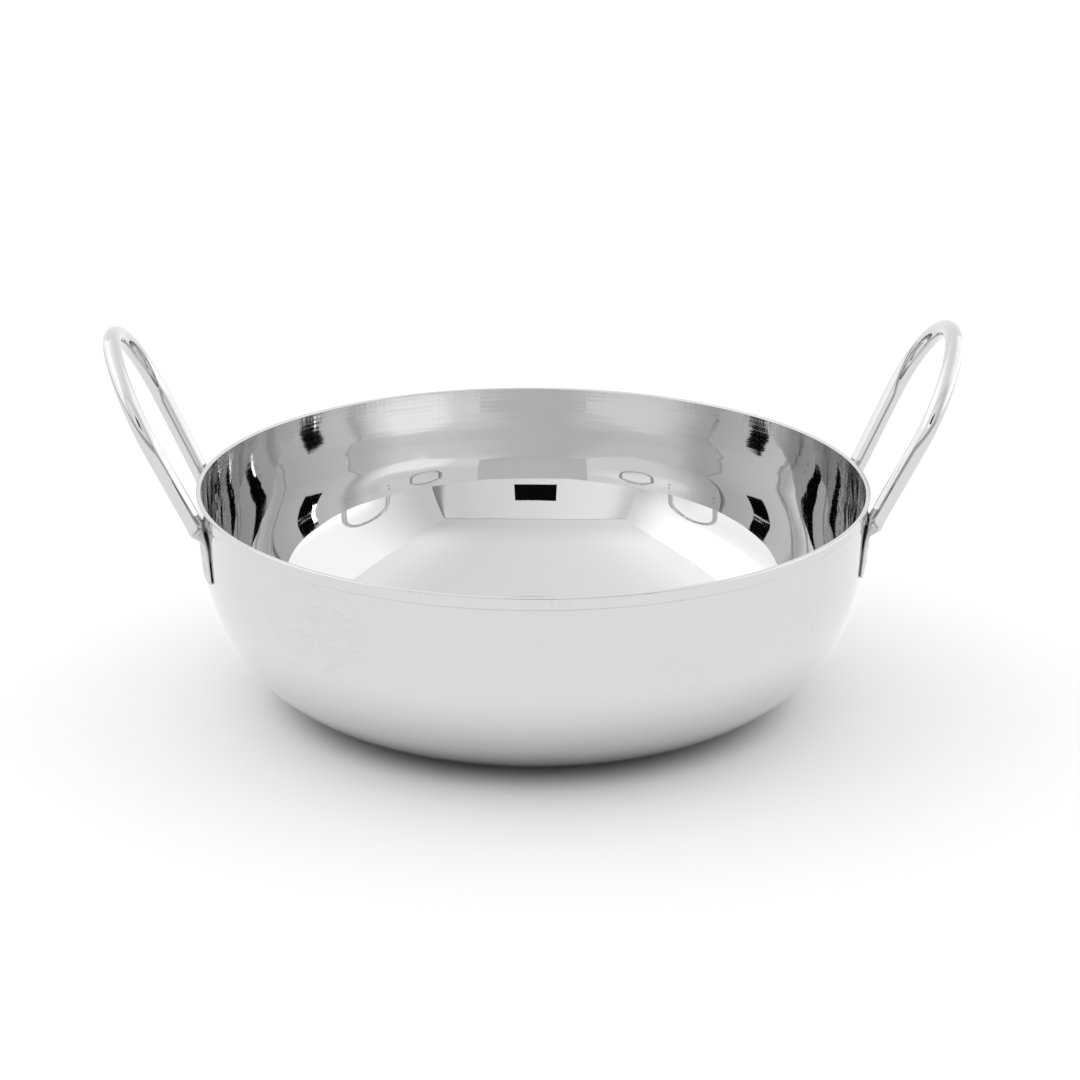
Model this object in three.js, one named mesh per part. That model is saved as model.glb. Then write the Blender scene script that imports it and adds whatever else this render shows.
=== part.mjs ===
// Balti dish: a round, deep-drawn stainless steel bowl with two leaning wire loop handles.
// Millimetres, +Z up. The origin is the centre of the flat underside, and the handles stand at +X and -X.
// Each handle is one round wire. Its ends are pressed flat into tabs that lie on the wall outside,
// and two spot welds hold each tab.

import * as THREE from 'three';

// Bowl
const rimDiameter = 150; // over the proud band below the lip
const bowlHeight = 49; // underside to lip
const sheetThickness = 1;
const cornerRadius = 34; // outside, from the flat base up into the wall
const wallDraft = THREE.MathUtils.degToRad(5.4); // how far the wall leans outwards
const bandHeight = 2.5; // plain band below the lip
const bandStep = 0.25; // how far the band stands proud of the wall
const bandChamfer = 0.2; // height of the small slope under the band
const lipRadius = 0.35; // rounding of both edges of the lip

// Handles
const wireDiameter = 4;
const handleRise = 36.3; // top of the loop above the lip
const handleLean = THREE.MathUtils.degToRad(25.6); // away from upright, outwards
const loopRadius = 20.2; // wire centre, in the round top of the loop
const armSpread = THREE.MathUtils.degToRad(6.1); // of each arm, so that the loop widens upwards
const wirePress = 0.6; // how much of the wire's front is pressed flat where it passes the band
const bendLength = 3; // from the corner of the two straight runs to each end of the bend

// Flattened ends of the handles, with drops measured down from the lower edge of the band
const flatStartDrop = 0.3; // the wire begins to widen
const shoulderStartDrop = 1.6; // the round back of the wire ends
const shoulderEndDrop = 4.1; // the back of the tab begins
const tabWideDrop = 5.7; // the tab has its full width
const tabTipDrop = 13.5;
const tabWidth = 7.6;
const tabCornerRadius = 1.2; // of the two corners of the tab's square end
const tabThickness = 0.9; // below the shoulder
const tabTipThickness = 0.55;

// Spot welds, two on each tab
const weldDiameter = 2.8;
const weldTipDistance = 3.4; // from the tab's tip up to the lower weld
const weldSpacing = 4;

// Clearances
const seatGap = 0.3; // tab to wall, and wire to band
const weldGap = 0.05; // weld to the tab and to the wall

// Fineness of the faceted surfaces
const bowlFacets = 96;
const cornerFacets = 10;
const lipFacets = 3;
const wireFacets = 20;
const archFacets = 15;
const pressFacets = 3; // past the band
const wideningFacets = 2; // from there down to the shoulder
const shoulderFacets = 5;
const tabFacets = 3;
const tipFacets = 3;
const weldFacets = 20;

// How square the wire's cross-section is: 2 is an ellipse, and more is flatter with rounded edges
const roundSquareness = 2;
const tabSquareness = 4.5;

// Worked out from the sizes above
const rimRadius = rimDiameter / 2;
const wireRadius = wireDiameter / 2;
const wallTopHeight = bowlHeight - bandHeight;
const wallTopRadius = rimRadius - bandStep;
const wallRadiusAt = (height) => wallTopRadius - (wallTopHeight - height) * Math.tan(wallDraft);
const cornerTopHeight = cornerRadius * (1 - Math.sin(wallDraft));
const baseRadius = wallRadiusAt(cornerTopHeight) - cornerRadius * Math.cos(wallDraft);

// Depths of the handle's feet, measured down from the lip
const pressStartDepth = bandHeight - wirePress / Math.tan(handleLean);
const flatStartDepth = bandHeight + flatStartDrop;
const shoulderStartDepth = bandHeight + shoulderStartDrop;
const shoulderEndDepth = bandHeight + shoulderEndDrop;
const tabWideDepth = bandHeight + tabWideDrop;
const tabTipDepth = bandHeight + tabTipDrop;
const tipStartDepth = tabTipDepth - tabCornerRadius;
const weldLowerDepth = tabTipDepth - weldTipDistance;
const weldUpperDepth = weldLowerDepth - weldSpacing;

const up = new THREE.Vector3(0, 0, 1);
const steel = { color: 0xd4d5d6, metalness: 1 };
const finishes = {
  bowl: () => new THREE.MeshStandardMaterial({ ...steel, roughness: 0.08 }),
  handle: () => new THREE.MeshStandardMaterial({ ...steel, roughness: 0.05 }),
  weld: () => new THREE.MeshStandardMaterial({ color: 0xa9a8a5, metalness: 1, roughness: 0.4 }),
};

function namedMesh(name, geometry, finish) {
  const mesh = new THREE.Mesh(geometry, finishes[finish]());
  mesh.name = name;
  return mesh;
}

// Points on an arc of the half section, where x is the radius from the dish's axis and y the height
function arcPoints(centreX, centreY, radius, startAngle, endAngle, facets) {
  return Array.from({ length: facets + 1 }, (_, step) => {
    const angle = THREE.MathUtils.lerp(startAngle, endAngle, step / facets);
    return new THREE.Vector2(centreX + radius * Math.cos(angle), centreY + radius * Math.sin(angle));
  });
}

// The bowl's closed half section: up the outside, over the lip and down the inside
function bowlSection() {
  const innerRimRadius = wallRadiusAt(bowlHeight) - sheetThickness / Math.cos(wallDraft);
  const innerCornerRadius = cornerRadius - sheetThickness;
  const lipHeight = bowlHeight - lipRadius;
  const quarter = Math.PI / 2;
  return [
    new THREE.Vector2(0, 0),
    ...arcPoints(baseRadius, cornerRadius, cornerRadius, -quarter, -wallDraft, cornerFacets),
    new THREE.Vector2(wallRadiusAt(wallTopHeight - bandChamfer), wallTopHeight - bandChamfer),
    new THREE.Vector2(rimRadius, wallTopHeight),
    ...arcPoints(rimRadius - lipRadius, lipHeight, lipRadius, 0, quarter, lipFacets),
    ...arcPoints(innerRimRadius + lipRadius, lipHeight, lipRadius, quarter, Math.PI - wallDraft, lipFacets),
    ...arcPoints(baseRadius, cornerRadius, innerCornerRadius, -wallDraft, -quarter, cornerFacets),
    new THREE.Vector2(0, sheetThickness),
  ];
}

function bowlGeometry() {
  return new THREE.LatheGeometry(bowlSection(), bowlFacets).rotateX(Math.PI / 2);
}

// The handle's wire centre lies in a plane that leans outwards, apart from its ends. In that plane, side is
// measured along Y from the middle, and rise along the slope from the level of the lip.
const slope = new THREE.Vector3(Math.sin(handleLean), 0, Math.cos(handleLean));
const planeBack = new THREE.Vector3(Math.cos(handleLean), 0, -Math.sin(handleLean));
const loopCentreRise = (handleRise - wireRadius) / Math.cos(handleLean) - loopRadius;
const directionInPlane = (side, rise) => new THREE.Vector3(0, side, 0).addScaledVector(slope, rise);

// The wire's side in that plane at a depth below the lip. The arms run straight into the round top.
function sideAtDepth(depth) {
  const belowTop = loopCentreRise - loopRadius * Math.sin(armSpread) + depth / Math.cos(handleLean);
  return loopRadius * Math.cos(armSpread) - belowTop * Math.tan(armSpread);
}

// Where the plane crosses the level of the lip, so that the pressed wire clears the lower edge of the band
function planeFootX() {
  const side = sideAtDepth(bandHeight);
  const radius = rimRadius + seatGap + wireRadius / Math.cos(handleLean) - wirePress;
  return Math.sqrt(radius ** 2 - side ** 2) + bandHeight * Math.tan(handleLean);
}

const planeFoot = new THREE.Vector3(planeFootX(), 0, bowlHeight);
const loopCentre = planeFoot.clone().addScaledVector(slope, loopCentreRise);
const armDown = directionInPlane(-Math.sin(armSpread), -Math.cos(armSpread));
const armAcross = directionInPlane(Math.cos(armSpread), -Math.sin(armSpread));
const armTop = loopCentre.clone().addScaledVector(armAcross, loopRadius);

// The flat that a tab lies on: it touches the wall, a seat gap away, along one line of the wall
const seatAngle = Math.asin(sideAtDepth(shoulderEndDepth) / rimRadius);
const seatOutwards = new THREE.Vector3(
  Math.cos(wallDraft) * Math.cos(seatAngle),
  Math.cos(wallDraft) * Math.sin(seatAngle),
  -Math.sin(wallDraft),
);
const seatAcross = new THREE.Vector3(-Math.sin(seatAngle), Math.cos(seatAngle), 0);
const seatDown = new THREE.Vector3().crossVectors(seatAcross, seatOutwards);
const seatPoint = new THREE.Vector3(
  wallRadiusAt(wallTopHeight) * Math.cos(seatAngle),
  wallRadiusAt(wallTopHeight) * Math.sin(seatAngle),
  wallTopHeight,
).addScaledVector(seatOutwards, seatGap);
const heightOverSeat = (point) => point.clone().sub(seatPoint).dot(seatOutwards);

// A point of the wire, pressed outwards where it would come closer to the dish than the seat gap. The band's
// own clearance runs on a little below it, so that the wire clears its lower edge.
function keptClear(point) {
  const besideBand = point.z > wallTopHeight - bandChamfer - seatGap;
  const least = (besideBand ? rimRadius : wallRadiusAt(point.z)) + seatGap;
  const outwards = new THREE.Vector3(point.x, point.y, 0);
  const shortfall = Math.max(least - outwards.length(), 0);
  return point.z < bowlHeight ? point.addScaledVector(outwards.normalize(), shortfall) : point;
}

// The wire centre of one foot, from the round top down to the tip of the tab
function footPath() {
  const middle = tabThickness / 2;
  const toCorner = (heightOverSeat(armTop) - middle) / -armDown.dot(seatOutwards);
  const corner = armTop.clone().addScaledVector(armDown, toCorner);
  const bendStart = corner.clone().addScaledVector(armDown, -bendLength);
  const bendEnd = corner.clone().addScaledVector(seatDown, bendLength);
  const tipHeight = bowlHeight - tabTipDepth;
  const tip = bendEnd.clone().addScaledVector(seatDown, (bendEnd.z - tipHeight) / -seatDown.z);
  const path = new THREE.CurvePath();
  path.add(new THREE.LineCurve3(armTop, bendStart));
  path.add(new THREE.QuadraticBezierCurve3(bendStart, corner, bendEnd));
  path.add(new THREE.LineCurve3(bendEnd, tip));
  return path;
}

// The place along the path, from 0 to 1, that lies at a depth below the lip
function shareAtDepth(path, depth) {
  let above = 0;
  let below = 1;
  for (let halving = 0; halving < 30; halving += 1) {
    const middle = (above + below) / 2;
    if (bowlHeight - path.getPoint(middle).z < depth) above = middle;
    else below = middle;
  }
  return (above + below) / 2;
}

// One closed ring of points round the wire, given by half its width and half its thickness
function ring(centre, across, back, halfWidth, halfThickness, squareness) {
  const bulge = (wave) => Math.sign(wave) * Math.abs(wave) ** (2 / squareness);
  return Array.from({ length: wireFacets }, (_, step) => {
    const angle = (2 * Math.PI * step) / wireFacets;
    return centre
      .clone()
      .addScaledVector(across, halfWidth * bulge(Math.cos(angle)))
      .addScaledVector(back, halfThickness * bulge(Math.sin(angle)));
  });
}

// The round top, from the middle of the loop to where the arm begins
function archRings() {
  return Array.from({ length: archFacets + 1 }, (_, step) => {
    const angle = THREE.MathUtils.lerp(Math.PI / 2, -armSpread, step / archFacets);
    const across = directionInPlane(Math.cos(angle), Math.sin(angle));
    const centre = loopCentre.clone().addScaledVector(across, loopRadius);
    return ring(centre, across, planeBack, wireRadius, wireRadius, roundSquareness);
  });
}

// Depths at which the foot has a ring: where its shape changes, and between those places
function footDepths() {
  const { lerp } = THREE.MathUtils;
  const shares = (facets) => Array.from({ length: facets }, (_, step) => (step + 1) / facets);
  const between = (start, end, facets) => shares(facets).map((share) => lerp(start, end, share));
  return [
    pressStartDepth,
    ...between(pressStartDepth, flatStartDepth, pressFacets),
    ...between(flatStartDepth, shoulderStartDepth, wideningFacets),
    ...between(shoulderStartDepth, shoulderEndDepth, shoulderFacets),
    ...between(shoulderEndDepth, tabWideDepth, tabFacets),
    tipStartDepth,
    ...shares(tipFacets).map((share) => tipStartDepth + tabCornerRadius * Math.sin((share * Math.PI) / 2)),
  ];
}

// The foot: the arm's round wire widens and thins into the tab, whose front stays on its seat
function footRings() {
  const { lerp, smoothstep } = THREE.MathUtils;
  const path = footPath();
  return footDepths().map((depth) => {
    const share = shareAtDepth(path, depth);
    const pathPoint = path.getPoint(share);
    const along = path.getTangent(share);
    const widened = smoothstep(depth, flatStartDepth, tabWideDepth);
    const across = armAcross.clone().lerp(seatAcross, widened).normalize();
    const back = new THREE.Vector3().crossVectors(along, across).normalize();
    across.crossVectors(back, along).normalize();

    const front = Math.min(wireRadius, heightOverSeat(pathPoint) / back.dot(seatOutwards));
    const thinned = THREE.MathUtils.inverseLerp(shoulderEndDepth, tabTipDepth, depth);
    const tabBack = lerp(tabThickness, tabTipThickness, Math.max(thinned, 0)) - front;
    const reach = lerp(wireRadius, tabBack, smoothstep(depth, shoulderStartDepth, shoulderEndDepth));
    const centre = pathPoint.addScaledVector(back, (reach - front) / 2);

    const intoCorner = Math.max(depth - tipStartDepth, 0);
    const cutBack = tabCornerRadius - Math.sqrt(Math.max(tabCornerRadius ** 2 - intoCorner ** 2, 0));
    const halfWidth = lerp(wireRadius, tabWidth / 2, widened) - cutBack;
    const flattened = smoothstep(depth, flatStartDepth, shoulderEndDepth);
    const squareness = lerp(roundSquareness, tabSquareness, flattened);
    return ring(centre, across, back, halfWidth, (reach + front) / 2, squareness).map(keptClear);
  });
}

// A closed skin over a row of rings, with a flat cap at each end
function skinRings(rings) {
  const points = rings.flat();
  const around = rings[0].length;
  const triangles = [];
  for (let row = 0; row + 1 < rings.length; row += 1) {
    for (let step = 0; step < around; step += 1) {
      const next = (step + 1) % around;
      const [a, b] = [row * around + step, row * around + next];
      const [c, d] = [a + around, b + around];
      triangles.push(a, b, c, b, d, c);
    }
  }
  const lastRow = (rings.length - 1) * around;
  for (let step = 1; step + 1 < around; step += 1) {
    triangles.push(0, step + 1, step);
    triangles.push(lastRow, lastRow + step, lastRow + step + 1);
  }
  const geometry = new THREE.BufferGeometry().setFromPoints(points);
  geometry.setIndex(triangles);
  geometry.computeVertexNormals();
  return geometry;
}

function handleGeometry() {
  const half = [...archRings(), ...footRings()];
  const mirrored = half
    .slice(1)
    .reverse()
    .map((points) => points.map((point) => new THREE.Vector3(point.x, -point.y, point.z)));
  return skinRings([...mirrored, ...half]);
}

// A weld is a thin round disc of fused metal between the tab and the wall
function weldMesh(name, end, depth) {
  const thickness = seatGap - 2 * weldGap;
  const geometry = new THREE.CylinderGeometry(weldDiameter / 2, weldDiameter / 2, thickness, weldFacets);
  const mesh = namedMesh(name, geometry.rotateX(Math.PI / 2), 'weld');
  const path = footPath();
  const place = path.getPoint(shareAtDepth(path, depth));
  place.addScaledVector(seatOutwards, -heightOverSeat(place) - seatGap / 2);
  const outwards = new THREE.Vector3(seatOutwards.x, end * seatOutwards.y, seatOutwards.z);
  mesh.position.set(place.x, end * place.y, place.z);
  mesh.quaternion.setFromUnitVectors(up, outwards);
  return mesh;
}

// One handle with its four welds, at +X. The one at -X is the same group, turned half round.
function handleGroup(side) {
  const turned = side === 'left';
  const group = new THREE.Group();
  group.rotation.z = turned ? Math.PI : 0;
  group.add(namedMesh(`handle_${side}`, handleGeometry(), 'handle'));
  for (const [end, place] of [[-1, turned ? 'rear' : 'front'], [1, turned ? 'front' : 'rear']]) {
    group.add(weldMesh(`weld_${side}_${place}_upper`, end, weldUpperDepth));
    group.add(weldMesh(`weld_${side}_${place}_lower`, end, weldLowerDepth));
  }
  return group;
}

const dish = new THREE.Group();
dish.name = 'balti_dish';
dish.add(namedMesh('bowl', bowlGeometry(), 'bowl'));
dish.add(handleGroup('left'), handleGroup('right'));

export default dish;
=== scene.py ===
"""Balti dish: the finished surfaces of the bowl, its wire handles and their spot welds, on a white table.

Metres, +Z up, with the origin at the centre of the flat underside. The sizes that a user would change stand
in the property groups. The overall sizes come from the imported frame, and the rest are worked out from them.
"""

import math

import bmesh
import bpy
from bpy.props import FloatProperty, FloatVectorProperty, IntProperty, PointerProperty
from mathutils import Matrix, Vector


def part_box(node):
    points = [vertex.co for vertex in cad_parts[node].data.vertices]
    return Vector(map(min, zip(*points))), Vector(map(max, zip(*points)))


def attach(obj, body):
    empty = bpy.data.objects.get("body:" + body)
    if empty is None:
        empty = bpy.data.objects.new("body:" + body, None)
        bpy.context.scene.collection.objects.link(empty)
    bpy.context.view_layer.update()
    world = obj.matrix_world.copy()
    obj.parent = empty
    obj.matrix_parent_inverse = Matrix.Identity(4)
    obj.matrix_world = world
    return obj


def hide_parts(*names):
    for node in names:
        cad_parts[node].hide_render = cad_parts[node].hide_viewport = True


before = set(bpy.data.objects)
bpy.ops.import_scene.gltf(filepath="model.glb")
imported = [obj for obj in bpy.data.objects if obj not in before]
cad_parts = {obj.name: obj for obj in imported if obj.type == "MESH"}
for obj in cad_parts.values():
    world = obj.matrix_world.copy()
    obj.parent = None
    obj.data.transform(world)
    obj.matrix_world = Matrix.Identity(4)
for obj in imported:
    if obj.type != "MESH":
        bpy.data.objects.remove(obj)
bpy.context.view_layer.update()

bl_info = {
    "name": "Balti dish",
    "version": (1, 0, 0),
    "blender": (4, 5, 0),
    "location": "View3D > Sidebar > Balti dish",
    "description": "Builds a steel balti dish with wire loop handles around its packed frame",
    "category": "Object",
}

MM = 0.001
UP = Vector((0, 0, 1))
BOWL_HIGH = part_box("bowl")[1]
HANDLE_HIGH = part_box("handle_right")[1]
WELDS = sorted(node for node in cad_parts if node.startswith("weld_"))

# How many reflections the renderer follows, and how often a search halves the range it looks in
LAST_REFLECTION = 4
HALVINGS = 40


def length(name, description, millimetres):
    """A length property in metres, whose default is given in millimetres."""
    return FloatProperty(
        name=name,
        description=description,
        default=millimetres * MM,
        subtype="DISTANCE",
        unit="LENGTH",
        precision=5,
    )


def angle(name, description, degrees):
    """An angle property, whose default is given in degrees."""
    return FloatProperty(
        name=name,
        description=description,
        default=math.radians(degrees),
        subtype="ANGLE",
        unit="ROTATION",
    )


def colour(name, description, default):
    """A colour property without alpha."""
    return FloatVectorProperty(
        name=name, description=description, default=default, subtype="COLOR", size=3, min=0, max=1
    )


class DishBowlSizes(bpy.types.PropertyGroup):
    """Sizes of the drawn bowl."""

    rim_diameter: length("Rim diameter", "Over the plain band below the lip", 2 * BOWL_HIGH.x / MM)
    height: length("Height", "From the table to the lip", BOWL_HIGH.z / MM)
    sheet: length("Sheet", "Thickness of the steel sheet", 1.0)
    corner_radius: length("Corner radius", "Outside, from the flat base up into the wall", 34.36)
    blend: length("Blend", "Over which the wall bends more and more into the corner", 16.6)
    draft: angle("Draft", "How far the wall leans outwards at the lip", 4.93)
    draft_change: angle("Draft change", "From the lip down to the foot of the wall", -2.3)
    draft_swell: angle("Draft swell", "Added halfway down the wall", 0.21)
    lip_change: angle("Lip change", "Added to the draft at the lip, and fading out below it", -2.2)
    lip_run: length("Lip run", "How far below the lip that change reaches", 6.2)
    band_height: length("Band height", "Plain band below the lip", 2.5)
    band_step: length("Band step", "How far the band stands proud of the wall", 0.25)
    band_chamfer: length("Band chamfer", "Height of the small slope under the band", 0.3)
    lip_radius: length("Lip radius", "Rounding of both edges of the lip", 0.22)
    wave_depth: length("Wave depth", "Unevenness that the drawing leaves in the wall", 0.03)
    wave_width: length("Wave width", "Width of one such unevenness", 12.0)
    ring_slope: angle("Ring slope", "Of the coarse rings that the turning leaves high in the wall", 0.3)
    fine_slope: angle("Fine ring slope", "Of the fine rings in the middle of the wall", 0.13)
    top_slope: angle("Top ring slope", "Of the fine rings just below the lip", 0.7)
    ring_coarse: length("Coarse rings", "From one coarse ring to the next", 5.6)
    ring_fine: length("Fine rings", "From one fine ring to the next", 1.9)
    ring_top: length("Top rings", "From one ring to the next just below the lip", 1.1)
    segments: IntProperty(name="Segments", description="Steps round the bowl", default=320, min=48)


class DishHandleSizes(bpy.types.PropertyGroup):
    """Sizes of the two bent wire handles."""

    wire: length("Wire", "Diameter of the round wire", 4.0)
    rise: length("Rise", "Top of the loop above the lip", (HANDLE_HIGH.z - BOWL_HIGH.z) / MM)
    lean: angle("Lean", "Away from upright, outwards", 25.6)
    loop_radius: length("Loop radius", "Wire centre, in the round top", 20.2)
    spread: angle("Spread", "Of each arm, so that the loop widens upwards", 6.1)
    press: length("Press", "How much of the wire's front is flattened where it passes the band", 0.6)
    bend: length("Bend", "From the corner of the two straight runs to each end of the bend", 3.0)
    clearance: length("Clearance", "From the wire to the band", 0.3)
    seat_gap: length("Seat gap", "From the tab to the wall that it lies on", 0.02)
    flat_start: length("Flat start", "Below the band, where the wire begins to widen", 0.3)
    shoulder_start: length("Shoulder start", "Below the band, where the round back ends", 1.6)
    shoulder_end: length("Shoulder end", "Below the band, where the back of the tab begins", 4.1)
    wide: length("Wide", "Below the band, where the tab has its full width", 5.7)
    tip: length("Tip", "Below the band, where the tab ends", 13.5)
    tab_width: length("Tab width", "Width of the pressed tab", 7.6)
    tab_corner: length("Tab corner", "Radius of the two corners of the tab's end", 1.2)
    tab_thickness: length("Tab thickness", "Below the shoulder", 0.9)
    tip_thickness: length("Tip thickness", "At the end of the tab", 0.55)


class DishWeldSizes(bpy.types.PropertyGroup):
    """Sizes of the spot welds and of the prints that the electrodes leave."""

    print_diameter: length("Print diameter", "Of the round print on a tab", 2.8)
    inner_diameter: length("Inner diameter", "Of the round print inside the bowl", 2.2)
    ring_height: length("Ring height", "How far the ring round a print stands proud", 0.07)
    tip_distance: length("Tip distance", "From the tab's tip up to the lower weld", 3.4)
    spacing: length("Spacing", "From the lower weld to the upper one", 4.0)


class DishFinishes(bpy.types.PropertyGroup):
    """Colours and gloss of the steel."""

    steel: colour("Steel", "Polished stainless steel", (0.64, 0.64, 0.64))
    dulled: colour("Dulled steel", "Steel under smudges and specks", (0.50, 0.50, 0.50))
    weld: colour("Weld", "Bare metal of a weld print", (0.42, 0.415, 0.41))
    roughness: FloatVectorProperty(
        name="Roughness",
        description="Of the mirror, the wall, the lip and the pressed tabs",
        default=(0.02, 0.035, 0.07, 0.4),
        size=4,
    )
    mirror_top: length("Mirror top", "Height up to which the bowl is a clear mirror", 33.0)
    polish_start: length("Polish start", "Height from which polishing lines show fully", 45.0)
    lip_start: length("Lip start", "Height from which the polish gets duller towards the lip", 44.5)
    # Painted reflection: strength of the glow that the steel gives where its last allowed reflection ends
    painted_deep_reflection: FloatVectorProperty(
        name="Painted deep reflection",
        description="Seen by the last of many reflections: inside, outside and on the handles",
        default=(0.44, 0.25, 0.3),
        size=3,
    )


class DishStageSizes(bpy.types.PropertyGroup):
    """Sizes and light of the white tent that the dish stands in."""

    left_width: length("Left width", "From the dish to the left side of the tent", 650.0)
    right_width: length("Right width", "From the dish to the right side of the tent", 612.0)
    depth: length("Depth", "From the dish to the front of the tent", 760.0)
    height: length("Height", "From the table to the roof", 760.0)
    port_width: length("Port width", "Of the dark opening that the camera looks through", 225.0)
    port_height: length("Port height", "Of the dark opening that the camera looks through", 218.0)
    port_middle: length("Port middle", "Height of the middle of the opening", 329.0)
    port_offset: length("Port offset", "From the middle of the opening to the middle of the tent", 12.0)
    seam: length("Seam", "Width of the dark seams between the panels of the tent", 7.0)
    brightness: FloatProperty(name="Brightness", description="Of all panels", default=1.14, min=0)
    lamp: FloatProperty(name="Lamp", description="Glow of the lamp behind the camera", default=6.0, min=0)
    room_depth: length("Room depth", "From the dish to the lamp behind the camera", 2500.0)
    base: length("Base", "Height of the dark foot of the left and front panels", 100.0)
    table: colour("Table", "White table under the dish", (0.92, 0.92, 0.92))
    whiteness: FloatProperty(name="Whiteness", description="Of the far table", default=1.09, min=0)
    # Painted shade: from here forwards, the table that the steel reflects is darkened; the camera sees no
    # edge there.
    table_edge: length("Table edge", "In front, where the table that the steel shows gets dark", 215.0)
    shine_start: length("Shine start", "As shade start, for what the steel shows of the table", 56.0)
    shine_end: length("Shine end", "As shade end, for what the steel shows of the table", 98.0)
    shade_start: length("Shade start", "From the dish's middle to where the shade begins to fade", 110.0)
    shade_end: length("Shade end", "From the dish's middle to where the table is plain white", 300.0)


def feed(tree, node, inputs):
    """Sets a node's inputs. Each is a plain value, or the socket of another node that feeds it."""
    for key, value in inputs.items():
        if isinstance(value, bpy.types.NodeSocket):
            tree.links.new(value, node.inputs[key])
        else:
            node.inputs[key].default_value = value


def add(tree, kind, inputs=None, **settings):
    """Adds a node, and makes its settings before it sets its inputs."""
    node = tree.nodes.new(kind)
    for name, value in settings.items():
        setattr(node, name, value)
    feed(tree, node, inputs or {})
    return node


def maths(tree, operation, *values, clamp=False):
    """The result of one Math node."""
    settings = {"operation": operation, "use_clamp": clamp}
    return add(tree, "ShaderNodeMath", dict(enumerate(values)), **settings).outputs[0]


def product(tree, value, *factors):
    """A value times one factor after another."""
    for factor in factors:
        value = maths(tree, "MULTIPLY", value, factor)
    return value


def ramp(tree, value, low, high, to_low=0.0, to_high=1.0, kind="SMOOTHSTEP"):
    """A value carried from one range to another, smoothly unless another kind is given."""
    inputs = {"Value": value, 1: low, 2: high, 3: to_low, 4: to_high}
    return add(tree, "ShaderNodeMapRange", inputs, interpolation_type=kind).outputs[0]


def noise(tree, vector, scale, detail=2.0, roughness=0.5):
    """A noise value between 0 and 1."""
    inputs = {"Vector": vector, "Scale": scale, "Detail": detail, "Roughness": roughness}
    return add(tree, "ShaderNodeTexNoise", inputs).outputs[0]


def split(tree, vector):
    """A vector's X, Y and Z."""
    return add(tree, "ShaderNodeSeparateXYZ", {"Vector": vector}).outputs


def stretched(tree, place, scale, turn=(0, 0, 0)):
    """A place turned and scaled, which stretches the pattern that reads it."""
    inputs = {"Vector": place, "Rotation": turn, "Scale": scale}
    return add(tree, "ShaderNodeMapping", inputs).outputs[0]


def blend(tree, share, first, second):
    """A colour that goes from the first to the second."""
    inputs = {0: share, 6: (*first, 1.0), 7: (*second, 1.0)}
    return add(tree, "ShaderNodeMix", inputs, data_type="RGBA").outputs[2]


def object_place(tree):
    """Where a point lies on its own object. The dish's pieces all sit at the origin."""
    return add(tree, "ShaderNodeTexCoord").outputs["Object"]


def new_group(name, kind, inputs, outputs):
    """An empty node group with named sockets, and its two end nodes."""
    tree = bpy.data.node_groups.new(name, kind)
    for socket, socket_kind, default in inputs:
        made = tree.interface.new_socket(socket, in_out="INPUT", socket_type=socket_kind)
        if default is not None:
            made.default_value = default
    for socket, socket_kind in outputs:
        tree.interface.new_socket(socket, in_out="OUTPUT", socket_type=socket_kind)
    return tree, tree.nodes.new("NodeGroupInput").outputs, tree.nodes.new("NodeGroupOutput")


def turned_lines_group():
    """Fine lines that run round the dish, as a polishing mop leaves them."""
    inputs = [
        ("Vector", "NodeSocketVector", None),
        ("Lines", "NodeSocketFloat", 900.0),
        ("Breaks", "NodeSocketFloat", 3.0),
    ]
    outputs = [("Height", "NodeSocketFloat")]
    tree, given, end = new_group("Turned lines", "ShaderNodeTree", inputs, outputs)
    place = split(tree, given["Vector"])
    flat = add(tree, "ShaderNodeCombineXYZ", {"X": place["X"], "Y": place["Y"]}).outputs[0]
    radius = add(tree, "ShaderNodeVectorMath", {0: flat}, operation="LENGTH").outputs["Value"]
    outwards = add(tree, "ShaderNodeVectorMath", {0: flat}, operation="NORMALIZE").outputs[0]
    scaled = {0: outwards, "Scale": given["Breaks"]}
    around = add(tree, "ShaderNodeVectorMath", scaled, operation="SCALE").outputs[0]
    along = product(tree, maths(tree, "ADD", radius, place["Z"]), given["Lines"])
    rise = add(tree, "ShaderNodeCombineXYZ", {"Z": along}).outputs[0]
    both = add(tree, "ShaderNodeVectorMath", {0: around, 1: rise}, operation="ADD").outputs[0]
    feed(tree, end, {"Height": noise(tree, both, 1.0, detail=3.0, roughness=0.6)})
    return tree


def hairlines_group():
    """Thin scratches in a few directions, broken into short runs."""
    inputs = [("Vector", "NodeSocketVector", None), ("Density", "NodeSocketFloat", 60.0)]
    outputs = [("Mask", "NodeSocketFloat")]
    tree, given, end = new_group("Hairlines", "ShaderNodeTree", inputs, outputs)
    turns = [(0.3, 0.9, 0.2), (1.2, -0.5, 2.0), (-0.8, 0.4, 1.1), (0.1, 1.4, -0.7)]
    stretch, line_width = 0.035, 0.012
    across_scale = product(tree, given["Density"], 10.0)
    run_scale = product(tree, given["Density"], 3.0)
    found = 0.0
    for turn in turns:
        turned = stretched(tree, given["Vector"], (1.0, stretch, stretch), turn)
        across = noise(tree, turned, across_scale, detail=0.0)
        off_line = maths(tree, "ABSOLUTE", maths(tree, "SUBTRACT", across, 0.5))
        line = ramp(tree, off_line, 0.0, line_width, 1.0, 0.0)
        runs = ramp(tree, noise(tree, turned, run_scale), 0.56, 0.66)
        found = maths(tree, "MAXIMUM", found, product(tree, line, runs))
    feed(tree, end, {"Mask": found})
    return tree


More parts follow.
